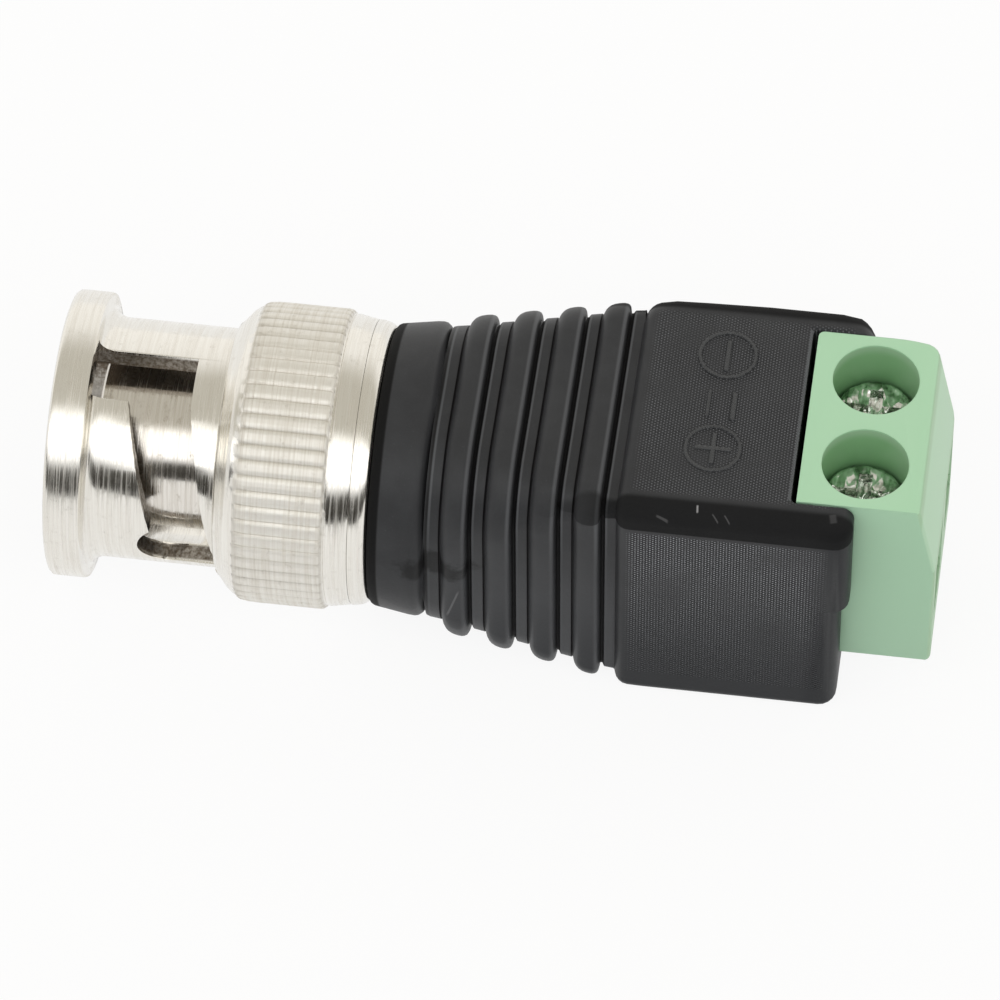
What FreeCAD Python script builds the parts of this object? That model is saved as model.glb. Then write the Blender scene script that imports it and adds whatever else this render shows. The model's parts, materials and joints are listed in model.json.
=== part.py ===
import FreeCAD, Part
import math
import os

Vector = FreeCAD.Vector

# All lengths are in mm and all angles in degrees.
# X runs along the connector axis: the mouth of the coupling nut is at X 0 and the terminals are at the far end.
# Z is up, towards the screw heads.

fit_gap = 0.03
running_gap = 0.1
overshoot = 0.5
tiny = 1e-6

# Coupling nut, outside
flange_radius = 6.95
flange_length = 1.78
flange_chamfer = 0.2
flange_back_taper = 0.8
sleeve_radius = 5.82
sleeve_length = 6.3
step_radius = 6.2
step_length = 0.12
bevel_length = 0.95
knurl_radius = 7.3
knurl_depth = 0.2
knurl_length = 4.35
knurl_teeth = 60
knurl_groove_share = 0.38
cone_end_drop = 0.37
cone_length = 1.2
cone_chamfer = 0.15

# Coupling nut, inside
bore_radius = 4.92
web_bore_radius = 4.12

# Bayonet slots, angles taken about X from +Y towards +Z
slot_count = 2
entry_start_angle = 82.5
entry_end_angle = 109.5
entry_end_position = 6.6
channel_radius = 5.65
cam_front_start = 3.58
cam_front_rise = 1.67
cam_back_rise = 1.4
cam_overlap_angle = 5.0
seat_angle = 188.7
seat_position = 5.86
seat_radius = 1.5
cam_stations = 5

# Connector core
contact_recess = 1.95
contact_reach = 8.4
contact_outer_radius = 4.05
contact_inner_radius = 3.5
contact_spigot_radius = 3.55
contact_spigot_bore = 3.1
contact_spigot_length = 2.4
contact_step_inset = 0.85
contact_tip_chamfer = 0.2
contact_slot_count = 2
contact_slot_angle = 45.0
contact_slot_width = 0.35
contact_slot_length = 4.5
gasket_thickness = 0.68
gasket_outer_radius = 4.8
shoulder_radius = 4.8
shoulder_length = 0.75
wave_height = 1.11
wave_thickness = 0.2
wave_count = 3
wave_outer_radius = 4.78
wave_stations = 24
washer_thickness = 0.25
washer_outer_radius = 4.8
washer_inner_radius = 4.1
neck_radius = 4.0
pin_radius = 0.675
pin_shoulder_radius = 0.95
pin_recess = 1.0
pin_point_length = 0.8
pin_point_radius = 0.25
pin_back_offset = 10.55
pin_cup_bore = 0.5
pin_cup_bore_depth = 2.2
dielectric_recess = 5.1
dielectric_radius = 3.05
dielectric_cup_radius = 2.45
dielectric_cup_depth = 3.6
dielectric_tail_radius = 2.6
dielectric_tail_length = 4.0

# Rear collar and shank
collar_reach = 0.8
collar_end_drop = 0.5
neck_tail_length = 2.25
shank_radius = 3.4
shank_length = 3.8
solder_notch_width = 0.7
solder_notch_length = 1.5

# Moulded body
mould_collar_drop = 0.47
mould_collar_length = 2.7
mould_collar_flare = 0.32
mould_heel_chamfer = 0.35
mould_morph_start = 1.9
mould_morph_widening = 0.02
mould_morph_heightening = 0.12
mould_morph_corner_drop = 1.33
rib_first = 4.25
rib_pitch = 2.13
rib_count = 4
rib_width = 1.2
rib_height = 0.55
rib_edge_chamfer = 0.25
box_start = 12.05
box_length = 11.1
box_width = 13.5
box_height_drop = 0.2
box_edge_radius = 1.0
box_bottom_edge_radius = 0.7
box_front_chamfer = 0.35
box_end_chamfer = 0.6
box_toe_setback = 0.4
box_toe_level = 1.0
recess_depth = 3.05
recess_side_gap = 0.08
recess_edge_radius = 0.3
tail_pocket_depth = 1.9
tail_pocket_width = 2.0
tail_pocket_length = 1.75
min_straight = 0.04
quarter_turn = 90

# Terminal housing
pole_pitch = 5.08
housing_width = 10.3
housing_height = 11.54
housing_length = 6.75
housing_back_gap = 0.27
housing_top_drop = 0.06
housing_chamfer_length = 0.9
housing_chamfer_height = 4.62
housing_corner_radius = 0.35
housing_back_wall = 0.4
housing_front_wall = 1.8
housing_cell_width = 4.2
housing_cell_top_depth = 3.79
screw_hole_radius = 2.07
screw_setback = 3.75
entry_mouth_width = 3.9
entry_mouth_height = 3.9
entry_mouth_sill = 0.2
entry_throat_width = 2.7
entry_throat_height = 2.6

# Clamp
cage_width = 4.0
cage_length = 3.5
cage_side_wall = 0.65
cage_floor = 0.65
cage_roof = 1.0
cage_opening = 2.7
cage_bottom_clearance = 0.1
cage_edge_radius = 0.4
bar_thickness = 0.55
bar_width = 2.4
bar_drop = 0.05
tail_width = 1.2
tail_thickness = 0.5
tail_hole_radius = 0.4
tail_hole_rise = 0.75
tail_length = 1.6
screw_head_radius = 1.9
screw_head_height = 1.3
screw_head_depth = 2.4
screw_head_chamfer = 0.25
screw_slot_width = 0.65
screw_slot_depth = 0.6
screw_cross_length = 2.5
screw_shank_radius = 1.3
screw_thread_gap = 0.05
screw_tip_gap = 0.02

# Leads
lead_radius = 0.8
lead_wire_radius = 0.3
lead_channel_radius = 0.85
lead_wire_channel_radius = 0.36
lead_strip_length = 1.4
lead_end_gap = 0.5

# Radii and heights that follow the grip ring
knurl_core_radius = knurl_radius - knurl_depth - fit_gap
cone_end_radius = knurl_radius - cone_end_drop
collar_end_radius = knurl_radius - collar_end_drop
mould_collar_radius = knurl_radius - mould_collar_drop
box_height = 2 * knurl_radius - box_height_drop

# Positions along X
sleeve_end = flange_length + sleeve_length
bevel_start = sleeve_end + step_length
knurl_start = bevel_start + bevel_length
knurl_end = knurl_start + knurl_length
nut_end = knurl_end + cone_length
contact_tip = contact_recess
gasket_front = contact_tip + contact_reach
shoulder_front = gasket_front + gasket_thickness + fit_gap
shoulder_back = shoulder_front + shoulder_length
wave_front = shoulder_back + fit_gap
wave_back = wave_front + wave_height
washer_front = wave_back + fit_gap
washer_back = washer_front + washer_thickness
web_front = washer_back + fit_gap
collar_front = nut_end + running_gap
mould_front = collar_front + collar_reach
collar_back = mould_front - fit_gap
neck_back = mould_front + neck_tail_length
shank_back = neck_back + shank_length
contact_step = gasket_front - contact_step_inset
spigot_back = shoulder_front + contact_spigot_length
dielectric_front = contact_tip + dielectric_recess
dielectric_step = spigot_back
dielectric_back = dielectric_step + dielectric_tail_length
pin_shoulder = dielectric_front + dielectric_cup_depth
pin_tip = contact_tip + pin_recess
pin_back = gasket_front + pin_back_offset
box_front = mould_front + box_start
box_back = box_front + box_length
recess_back = box_back - recess_depth
housing_back = recess_back + housing_back_gap
housing_front = housing_back + housing_length
screw_axis = housing_front - screw_setback
cell_back = housing_back + housing_back_wall
cell_front = housing_front - housing_front_wall

# Heights along Z
box_top = box_height / 2
housing_top = box_top - housing_top_drop
housing_bottom = housing_top - housing_height
cell_top = housing_top - housing_cell_top_depth
head_top = housing_top - screw_head_depth
head_bottom = head_top - screw_head_height
cage_height = cage_floor + cage_opening + cage_roof
cage_travel = 1.75
cage_top = cell_top - running_gap - cage_travel
cage_bottom = cage_top - cage_height
cell_bottom = cage_bottom - cage_bottom_clearance
bar_top = cage_top - cage_roof - bar_drop
bar_bottom = bar_top - bar_thickness
tail_bottom = housing_bottom - tail_length
tail_hole_level = tail_bottom + tail_hole_rise
minus_pole = pole_pitch / 2
plus_pole = -pole_pitch / 2
tail_back = cell_back + fit_gap
tail_front = tail_back + tail_thickness


def block(x0, x1, y0, y1, z0, z1):
    return Part.makeBox(x1 - x0, y1 - y0, z1 - z0, Vector(x0, y0, z0))


def rod(radius, x0, x1, y=0.0, z=0.0):
    return Part.makeCylinder(radius, x1 - x0, Vector(x0, y, z), Vector(1, 0, 0))


def post(radius, x, y, z0, z1):
    return Part.makeCylinder(radius, z1 - z0, Vector(x, y, z0), Vector(0, 0, 1))


def turned(points):
    corners = [Vector(x, r, 0) for x, r in points]
    outline = Part.makePolygon(corners + [corners[0]])
    return Part.Face(outline).revolve(Vector(0, 0, 0), Vector(1, 0, 0), 360)


def polar(x, radius, angle):
    turn = math.radians(angle)
    return Vector(x, radius * math.cos(turn), radius * math.sin(turn))


def aboutAxis(shape, angle):
    copy = shape.copy()
    copy.rotate(Vector(0, 0, 0), Vector(1, 0, 0), angle)
    return copy


def ringSector(inner, outer, x0, x1, start, end):
    corners = [Vector(x0, inner, 0), Vector(x1, inner, 0), Vector(x1, outer, 0), Vector(x0, outer, 0)]
    face = Part.Face(Part.makePolygon(corners + [corners[0]]))
    face.rotate(Vector(0, 0, 0), Vector(1, 0, 0), start)
    return face.revolve(Vector(0, 0, 0), Vector(1, 0, 0), end - start)


def edgesWhere(shape, test):
    return [edge for edge in shape.Edges if test(edge)]


def cleaned(shape):
    merged = shape.removeSplitter()
    if merged.ShapeType == "Solid":
        return merged
    return merged.Solids[0]


# Helical corridor of a bayonet slot, closed from four curves
def camCutter():
    inner = bore_radius - overshoot
    outer = flange_radius + overshoot
    first = entry_end_angle - cam_overlap_angle
    last = seat_angle + math.degrees(seat_radius / sleeve_radius)
    step = (last - first) / (cam_stations - 1)
    angles = [first + step * index for index in range(cam_stations)]
    shares = [(angle - entry_end_angle) / (seat_angle - entry_end_angle) for angle in angles]
    front = [cam_front_start + cam_front_rise * share for share in shares]
    back = [entry_end_position + cam_back_rise * share for share in shares]

    def curve(positions, radius):
        spline = Part.BSplineCurve()
        spline.interpolate([polar(x, radius, angle) for x, angle in zip(positions, angles)])
        return spline.toShape()

    front_in = curve(front, inner)
    front_out = curve(front, outer)
    back_in = curve(back, inner)
    back_out = curve(back, outer)
    faces = [
        Part.makeRuledSurface(front_in, front_out),
        Part.makeRuledSurface(back_in, back_out),
        Part.makeRuledSurface(front_in, back_in),
        Part.makeRuledSurface(front_out, back_out),
    ]
    for end, angle in ((0, first), (-1, last)):
        corners = [
            polar(front[end], inner, angle),
            polar(front[end], outer, angle),
            polar(back[end], outer, angle),
            polar(back[end], inner, angle),
        ]
        faces.append(Part.Face(Part.makePolygon(corners + [corners[0]])))
    shell = Part.makeShell(faces)
    shell.sewShape()
    solid = Part.Solid(shell)
    if solid.Volume < 0:
        solid.reverse()
    return solid


def knurlRing():
    root = knurl_radius - knurl_depth
    tooth = 360.0 / knurl_teeth
    groove = tooth * knurl_groove_share
    corners = []
    for index in range(knurl_teeth):
        start = index * tooth
        crest_end = start + tooth - groove
        corners.append(polar(knurl_start, knurl_radius, start))
        corners.append(polar(knurl_start, knurl_radius, crest_end))
        corners.append(polar(knurl_start, root, crest_end + groove / 2))
    outline = Part.makePolygon(corners + [corners[0]])
    return Part.Face(outline).extrude(Vector(knurl_length, 0, 0))


def couplingNut():
    body = turned([
        (flange_length, sleeve_radius + flange_back_taper),
        (flange_length, flange_radius),
        (flange_chamfer, flange_radius),
        (0, flange_radius - flange_chamfer),
        (0, bore_radius),
        (web_front, bore_radius),
        (web_front, web_bore_radius),
        (nut_end, web_bore_radius),
        (nut_end, cone_end_radius - cone_chamfer),
        (nut_end - cone_chamfer, cone_end_radius),
        (knurl_end, knurl_core_radius),
        (knurl_start, knurl_core_radius),
        (bevel_start, step_radius),
        (sleeve_end, sleeve_radius),
        (flange_length + flange_back_taper, sleeve_radius),
    ])
    core = rod(knurl_core_radius - fit_gap, knurl_start - overshoot, knurl_end + overshoot)
    body = body.fuse(knurlRing().cut(core))
    cutters = []
    for index in range(slot_count):
        turn = index * 360.0 / slot_count
        deep = bore_radius - overshoot
        high = flange_radius + overshoot
        channel = ringSector(deep, channel_radius, -overshoot, flange_length + overshoot,
                             entry_start_angle, entry_end_angle)
        entry = ringSector(deep, high, flange_length, entry_end_position,
                           entry_start_angle, entry_end_angle)
        seat = Part.makeCylinder(seat_radius, high - deep, polar(seat_position, deep, seat_angle),
                                 polar(0, 1, seat_angle))
        for cutter in (channel, entry, camCutter(), seat):
            cutters.append(aboutAxis(cutter, turn))
    return cleaned(body.cut(cutters))


def outerContact():
    body = turned([
        (contact_tip, contact_inner_radius),
        (contact_tip, contact_outer_radius - contact_tip_chamfer),
        (contact_tip + contact_tip_chamfer, contact_outer_radius),
        (gasket_front, contact_outer_radius),
        (gasket_front, contact_spigot_radius),
        (spigot_back, contact_spigot_radius),
        (spigot_back, contact_spigot_bore),
        (contact_step, contact_spigot_bore),
        (contact_step, contact_inner_radius),
    ])
    cutters = []
    half = contact_slot_width / 2
    slot_end = contact_tip + contact_slot_length
    slot = block(contact_tip - overshoot, slot_end, 0, contact_outer_radius + overshoot, -half, half)
    for index in range(contact_slot_count):
        turn = contact_slot_angle + index * 360.0 / contact_slot_count
        cutters.append(aboutAxis(slot, turn))
    return cleaned(body.cut(cutters))


def centrePin():
    body = turned([
        (pin_tip, 0),
        (pin_tip, pin_point_radius),
        (pin_tip + pin_point_length, pin_radius),
        (pin_shoulder, pin_radius),
        (pin_shoulder, pin_shoulder_radius),
        (pin_back, pin_shoulder_radius),
        (pin_back, pin_cup_bore),
        (pin_back - pin_cup_bore_depth, pin_cup_bore),
        (pin_back - pin_cup_bore_depth, 0),
    ])
    return cleaned(body)


def dielectric():
    hole = pin_shoulder_radius + fit_gap
    return cleaned(turned([
        (dielectric_front, dielectric_cup_radius),
        (dielectric_front, dielectric_radius),
        (dielectric_step, dielectric_radius),
        (dielectric_step, dielectric_tail_radius),
        (dielectric_back, dielectric_tail_radius),
        (dielectric_back, hole),
        (pin_shoulder - fit_gap, hole),
        (pin_shoulder - fit_gap, dielectric_cup_radius),
    ]))


def gasket():
    inner = contact_spigot_radius + fit_gap
    start = gasket_front + fit_gap
    return cleaned(turned([
        (start, inner),
        (start, gasket_outer_radius),
        (gasket_front + gasket_thickness, gasket_outer_radius),
        (gasket_front + gasket_thickness, inner),
    ]))


def plugBody():
    counterbore_end = spigot_back + fit_gap
    tail_bore = dielectric_tail_radius + fit_gap
    body = turned([
        (shoulder_front, contact_spigot_radius + fit_gap),
        (shoulder_front, shoulder_radius),
        (shoulder_back, shoulder_radius),
        (shoulder_back, neck_radius),
        (neck_back, neck_radius),
        (neck_back, shank_radius),
        (shank_back, shank_radius),
        (shank_back, tail_bore),
        (counterbore_end, tail_bore),
        (counterbore_end, contact_spigot_radius + fit_gap),
    ])
    half = solder_notch_width / 2
    notch = block(shank_back - solder_notch_length, shank_back + overshoot,
                  tail_bore - overshoot, shank_radius + overshoot, -half, half)
    return cleaned(body.cut(notch))


# Closed ring with its faces waved along X
def waveWasher():
    inner = neck_radius + running_gap
    outer = wave_outer_radius
    swing = (wave_height - wave_thickness) / 2
    centre = (wave_front + wave_back) / 2

    def rim(radius, side):
        points = []
        for index in range(wave_stations):
            angle = index * 360.0 / wave_stations
            wave = swing * math.cos(math.radians(wave_count * angle))
            points.append(polar(centre + wave + side * wave_thickness / 2, radius, angle))
        spline = Part.BSplineCurve()
        spline.interpolate(Points=points, PeriodicFlag=True)
        return spline.toShape()

    front_in = rim(inner, -1)
    front_out = rim(outer, -1)
    back_in = rim(inner, 1)
    back_out = rim(outer, 1)
    faces = [
        Part.makeRuledSurface(front_in, front_out),
        Part.makeRuledSurface(back_in, back_out),
        Part.makeRuledSurface(front_in, back_in),
        Part.makeRuledSurface(front_out, back_out),
    ]
    shell = Part.makeShell(faces)
    shell.sewShape()
    solid = Part.Solid(shell)
    if solid.Volume < 0:
        solid.reverse()
    return solid


def thrustWasher():
    return cleaned(turned([
        (washer_front, washer_inner_radius),
        (washer_front, washer_outer_radius),
        (washer_back, washer_outer_radius),
        (washer_back, washer_inner_radius),
    ]))


def rearCollar():
    return cleaned(turned([
        (collar_front, neck_radius + fit_gap),
        (collar_front, cone_end_radius - cone_chamfer),
        (collar_front + cone_chamfer, cone_end_radius),
        (collar_back, collar_end_radius),
        (collar_back, neck_radius + fit_gap),
    ]))


# Rounded rectangle across X that changes from the round collar to the box
def mouldSection(x, growth):
    span = box_front - mould_front - mould_morph_start
    share = (x - mould_front - mould_morph_start) / span
    share = min(max(share, 0), 1)
    start_width = mould_collar_radius + mould_morph_widening
    start_height = mould_collar_radius + mould_morph_heightening
    start_corner = mould_collar_radius - mould_morph_corner_drop
    half_width = start_width + (box_width / 2 - start_width) * share + growth
    half_height = start_height + (box_height / 2 - start_height) * share + growth
    corner = start_corner + (box_edge_radius - start_corner) * share + growth
    corner = min(corner, half_width - min_straight, half_height - min_straight)
    arcs = []
    for turn, (side, rise) in enumerate(((1, 1), (-1, 1), (-1, -1), (1, -1))):
        centre = Vector(x, side * (half_width - corner), rise * (half_height - corner))
        arcs.append([centre + polar(0, corner, (turn + part) * quarter_turn) for part in (0, 0.5, 1)])
    edges = []
    for index, (start, middle, end) in enumerate(arcs):
        edges.append(Part.Arc(start, middle, end).toShape())
        edges.append(Part.makeLine(end, arcs[(index + 1) % len(arcs)][0]))
    return Part.Wire(edges)


# Straight length of the section found half way between its ends
def mouldLength(start, end, growth):
    face = Part.Face(mouldSection((start + end) / 2, growth))
    face.translate(Vector((start - end) / 2, 0, 0))
    return face.extrude(Vector(end - start, 0, 0))


def mouldRib(start, end):
    rib = mouldLength(start, end, 0)
    rims = edgesWhere(rib, lambda edge: edge.BoundBox.XLength < tiny)
    return rib.makeChamfer(rib_edge_chamfer, rims)


def mouldBox(end):
    half_width = box_width / 2
    half_height = box_height / 2
    box = block(box_front, end, -half_width, half_width, -half_height, half_height)
    top_edges = edgesWhere(box, lambda edge: edge.BoundBox.XLength > box_length / 2 and edge.BoundBox.ZMin > 0)
    box = box.makeFillet(box_edge_radius, top_edges)
    bottom_edges = edgesWhere(box, lambda edge: edge.BoundBox.XLength > box_length / 2
                              and edge.BoundBox.ZMax < tiny - half_height)
    box = box.makeFillet(box_bottom_edge_radius, bottom_edges)
    end_edges = edgesWhere(box, lambda edge: edge.BoundBox.XMin > end - tiny)
    box = box.makeChamfer(box_end_chamfer, end_edges)
    front_edges = edgesWhere(box, lambda edge: edge.BoundBox.XMax < box_front + tiny)
    return box.makeChamfer(box_front_chamfer, front_edges)


def mouldedBody():
    collar_end = mould_front + mould_collar_length
    heel_radius = mould_collar_radius + mould_collar_flare
    collar = turned([
        (mould_front, 0),
        (mould_front, mould_collar_radius),
        (collar_end - mould_heel_chamfer, heel_radius),
        (collar_end, heel_radius - mould_heel_chamfer),
        (collar_end, 0),
    ])
    rib_starts = [mould_front + rib_first - rib_width / 2 + rib_pitch * index for index in range(rib_count)]
    ribs = [mouldRib(start, start + rib_width) for start in rib_starts]
    valley_starts = [collar_end] + [start + rib_width for start in rib_starts]
    valleys = []
    for start, end in zip(valley_starts, rib_starts + [box_front]):
        valleys.append(mouldLength(start - overshoot, end + overshoot, -rib_height))
    toe = mouldBox(box_back - box_toe_setback)
    jaws = mouldBox(box_back)
    jaws = jaws.cut(block(box_front - overshoot, box_back + overshoot, -box_width, box_width,
                          -box_height, box_toe_level))
    body = collar.fuse(valleys + ribs + [toe, jaws])
    recess_half = housing_width / 2 + recess_side_gap
    recess = block(recess_back, box_back + overshoot, -recess_half, recess_half,
                   housing_bottom - fit_gap, box_top + overshoot)
    rear_edges = edgesWhere(recess, lambda edge: edge.BoundBox.XMax < recess_back + tiny
                            and edge.BoundBox.YLength < tiny)
    recess = recess.makeFillet(recess_edge_radius, rear_edges)
    body = cleaned(body).cut(recess)
    cutters = [
        rod(neck_radius + fit_gap, mould_front - overshoot, neck_back + fit_gap),
        rod(shank_radius + fit_gap, neck_back - overshoot, shank_back + lead_end_gap),
    ]
    for side in (minus_pole, plus_pole):
        cutters.append(block(recess_back - overshoot, housing_back + tail_pocket_length,
                             side - tail_pocket_width / 2, side + tail_pocket_width / 2,
                             housing_bottom - tail_pocket_depth, housing_bottom + overshoot))
    cutters.append(leadShape(*liveRoute(), lead_channel_radius, lead_wire_channel_radius))
    cutters.append(leadShape(*groundRoute(), lead_channel_radius, lead_wire_channel_radius))
    return cleaned(body.cut(cutters))


def liveRoute():
    start = Vector(pin_back + lead_end_gap, 0, 0)
    end = Vector(recess_back - overshoot - lead_end_gap, plus_pole, tail_hole_level)
    return start, end


def groundRoute():
    wall = (shank_radius + dielectric_tail_radius + fit_gap) / 2
    start = Vector(shank_back + lead_end_gap, wall, 0)
    end = Vector(recess_back - overshoot - lead_end_gap, minus_pole, tail_hole_level)
    return start, end


# Straight insulated lead with a bare wire along X at each end
def leadShape(start, end, radius, wire_radius):
    run = end - start
    sleeve = Part.makeCylinder(radius, run.Length, start, run)
    near = rod(wire_radius, start.x - lead_strip_length, start.x + lead_wire_radius, start.y, start.z)
    far = rod(wire_radius, end.x - lead_wire_radius, tail_front + lead_end_gap, end.y, end.z)
    return cleaned(sleeve.fuse([near, far]))


def liveLead():
    return leadShape(*liveRoute(), lead_radius, lead_wire_radius)


def groundLead():
    return leadShape(*groundRoute(), lead_radius, lead_wire_radius)


def terminalHousing():
    half = housing_width / 2
    body = block(housing_back, housing_front, -half, half, housing_bottom, housing_top)
    slope = Part.makePolygon([
        Vector(housing_front - housing_chamfer_length, -half - overshoot, housing_top),
        Vector(housing_front, -half - overshoot, housing_top - housing_chamfer_height),
        Vector(housing_front + overshoot, -half - overshoot, housing_top - housing_chamfer_height),
        Vector(housing_front + overshoot, -half - overshoot, housing_top + overshoot),
        Vector(housing_front - housing_chamfer_length, -half - overshoot, housing_top + overshoot),
        Vector(housing_front - housing_chamfer_length, -half - overshoot, housing_top),
    ])
    body = body.cut(Part.Face(slope).extrude(Vector(0, housing_width + 2 * overshoot, 0)))
    corners = edgesWhere(body, lambda edge: edge.BoundBox.YLength < tiny
                         and edge.BoundBox.XMin > housing_front - housing_chamfer_length - tiny)
    body = body.makeFillet(housing_corner_radius, corners)
    cutters = []
    for side in (minus_pole, plus_pole):
        cell = housing_cell_width / 2
        cutters.append(block(cell_back, cell_front, side - cell, side + cell, cell_bottom, cell_top))
        cutters.append(post(screw_hole_radius, screw_axis, side, cell_top - overshoot,
                            housing_top + overshoot))
        tail = tail_width / 2 + fit_gap
        cutters.append(block(cell_back, tail_front + fit_gap, side - tail, side + tail,
                             housing_bottom - overshoot, cell_bottom + overshoot))
        cutters.append(wireFunnel(side))
    return cleaned(body.cut(cutters))


def wireFunnel(side):
    sill = cage_bottom + cage_floor
    mouth = entry_mouth_width / 2
    throat = entry_throat_width / 2
    mouth_low = sill + entry_mouth_sill
    sections = []
    for x, half, low, high in (
            (housing_front, mouth, mouth_low, mouth_low + entry_mouth_height),
            (cell_front, throat, sill, sill + entry_throat_height)):
        corners = [
            Vector(x, side - half, low),
            Vector(x, side + half, low),
            Vector(x, side + half, high),
            Vector(x, side - half, high),
        ]
        sections.append(Part.makePolygon(corners + [corners[0]]))
    funnel = Part.makeLoft(sections, True, True)
    throat_hole = block(cell_front - overshoot, cell_front + fit_gap, side - throat, side + throat,
                        sill, sill + entry_throat_height)
    return funnel.fuse(throat_hole)


def clampScrew(side):
    head = post(screw_head_radius, screw_axis, side, head_bottom, head_top)
    rim = edgesWhere(head, lambda edge: edge.BoundBox.ZMin > head_top - tiny)
    head = head.makeChamfer(screw_head_chamfer, rim)
    shank = post(screw_shank_radius, screw_axis, side, bar_top + screw_tip_gap, head_bottom + fit_gap)
    half = screw_slot_width / 2
    reach = screw_head_radius + overshoot
    cross = screw_cross_length / 2
    floor = head_top - screw_slot_depth
    slot = block(screw_axis - reach, screw_axis + reach, side - half, side + half,
                 floor, head_top + overshoot)
    bridge = block(screw_axis - half, screw_axis + half, side - cross, side + cross,
                   floor, head_top + overshoot)
    return cleaned(head.fuse(shank).cut([slot, bridge]))


def clampCage(side):
    half = cage_width / 2
    start = screw_axis - cage_length / 2
    end = screw_axis + cage_length / 2
    body = block(start, end, side - half, side + half, cage_bottom, cage_top)
    corners = edgesWhere(body, lambda edge: edge.BoundBox.XLength > cage_length / 2)
    body = body.makeFillet(cage_edge_radius, corners)
    inside = half - cage_side_wall
    window = block(start - overshoot, end + overshoot, side - inside, side + inside,
                   cage_bottom + cage_floor, cage_top - cage_roof)
    thread = post(screw_shank_radius + screw_thread_gap, screw_axis, side,
                  cage_top - cage_roof - overshoot, cage_top + overshoot)
    return cleaned(body.cut([window, thread]))


def contactBar(side):
    half = bar_width / 2
    tail = tail_width / 2
    bar_end = screw_axis + cage_length / 2 - fit_gap
    bar = block(tail_back, bar_end, side - half, side + half, bar_bottom, bar_top)
    leg = block(tail_back, tail_front, side - tail, side + tail, tail_bottom, bar_top)
    hole = rod(tail_hole_radius, tail_back - overshoot, tail_front + overshoot, side, tail_hole_level)
    return cleaned(bar.fuse(leg).cut(hole))


def save(name, shape):
    shape.exportStep("parts/" + name + ".step")


os.makedirs("parts", exist_ok=True)

save("coupling_nut", couplingNut())
save("outer_contact", outerContact())
save("centre_pin", centrePin())
save("dielectric", dielectric())
save("gasket", gasket())
save("plug_body", plugBody())
save("wave_washer", waveWasher())
save("thrust_washer", thrustWasher())
save("rear_collar", rearCollar())
save("moulded_body", mouldedBody())
save("terminal_housing", terminalHousing())
save("clamp_screw_minus", clampScrew(minus_pole))
save("clamp_screw_plus", clampScrew(plus_pole))
save("clamp_cage_minus", clampCage(minus_pole))
save("clamp_cage_plus", clampCage(plus_pole))
save("contact_bar_minus", contactBar(minus_pole))
save("contact_bar_plus", contactBar(plus_pole))
save("live_lead", liveLead())
save("ground_lead", groundLead())
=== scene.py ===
import json
import math

import bmesh
import bpy
from mathutils import Matrix, Vector

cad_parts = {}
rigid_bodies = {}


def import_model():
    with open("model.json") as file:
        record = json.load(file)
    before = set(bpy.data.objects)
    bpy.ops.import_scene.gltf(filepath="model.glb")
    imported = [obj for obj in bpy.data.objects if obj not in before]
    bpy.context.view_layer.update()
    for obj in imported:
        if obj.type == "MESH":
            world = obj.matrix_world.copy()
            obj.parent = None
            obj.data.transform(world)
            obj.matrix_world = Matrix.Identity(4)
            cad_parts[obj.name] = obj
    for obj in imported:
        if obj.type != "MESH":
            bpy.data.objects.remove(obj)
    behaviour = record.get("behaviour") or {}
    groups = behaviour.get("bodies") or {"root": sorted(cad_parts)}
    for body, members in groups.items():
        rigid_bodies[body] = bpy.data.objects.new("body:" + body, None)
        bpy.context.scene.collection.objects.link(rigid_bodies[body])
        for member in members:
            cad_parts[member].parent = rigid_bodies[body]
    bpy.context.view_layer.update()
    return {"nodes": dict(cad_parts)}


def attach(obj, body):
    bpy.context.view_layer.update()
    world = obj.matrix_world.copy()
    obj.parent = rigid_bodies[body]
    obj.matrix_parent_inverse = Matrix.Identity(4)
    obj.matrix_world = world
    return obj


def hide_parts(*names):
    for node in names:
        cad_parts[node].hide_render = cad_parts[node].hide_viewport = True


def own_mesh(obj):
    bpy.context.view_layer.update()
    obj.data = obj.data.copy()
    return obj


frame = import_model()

mm = 0.001
nodes = frame["nodes"]
print("stage: frame loaded,", len(nodes), "cad nodes")

# view ------------------------------------------------------------

view = {"azimuth": 7.818, "elevation": 52.905, "roll": -0.443, "lens": 288.0,
        "place": (53.0175, -231.6723, 307.2870)}
az = math.radians(view["azimuth"])
el = math.radians(view["elevation"])
back = Vector((math.sin(az) * math.cos(el), -math.cos(az) * math.cos(el), math.sin(el)))
right = Vector((math.cos(az), math.sin(az), 0))
up = back.cross(right)
turn = math.radians(view["roll"])
camRight = right * math.cos(turn) + up * math.sin(turn)
camUp = up * math.cos(turn) - right * math.sin(turn)

bpy.ops.object.select_all(action="DESELECT")
bpy.ops.object.camera_add()
camera = bpy.context.object
camera.name = "photoCamera"
camera.data.sensor_width = 36
camera.data.lens = view["lens"]
camera.data.clip_start = 0.01
camera.data.clip_end = 10
camera.matrix_world = Matrix.Translation(Vector(view["place"]) * mm) @ Matrix((camRight, camUp, back)).transposed().to_4x4()
bpy.context.scene.camera = camera
bpy.context.scene.view_settings.view_transform = "Standard"


# modelling helpers -----------------------------------------------

def startFresh():
    if bpy.context.object and bpy.context.object.mode == "EDIT":
        bpy.ops.object.mode_set(mode="OBJECT")
    bpy.ops.object.select_all(action="DESELECT")


def intoEdit(piece):
    startFresh()
    bpy.context.view_layer.objects.active = piece
    piece.select_set(True)
    bpy.ops.object.mode_set(mode="EDIT")


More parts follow.
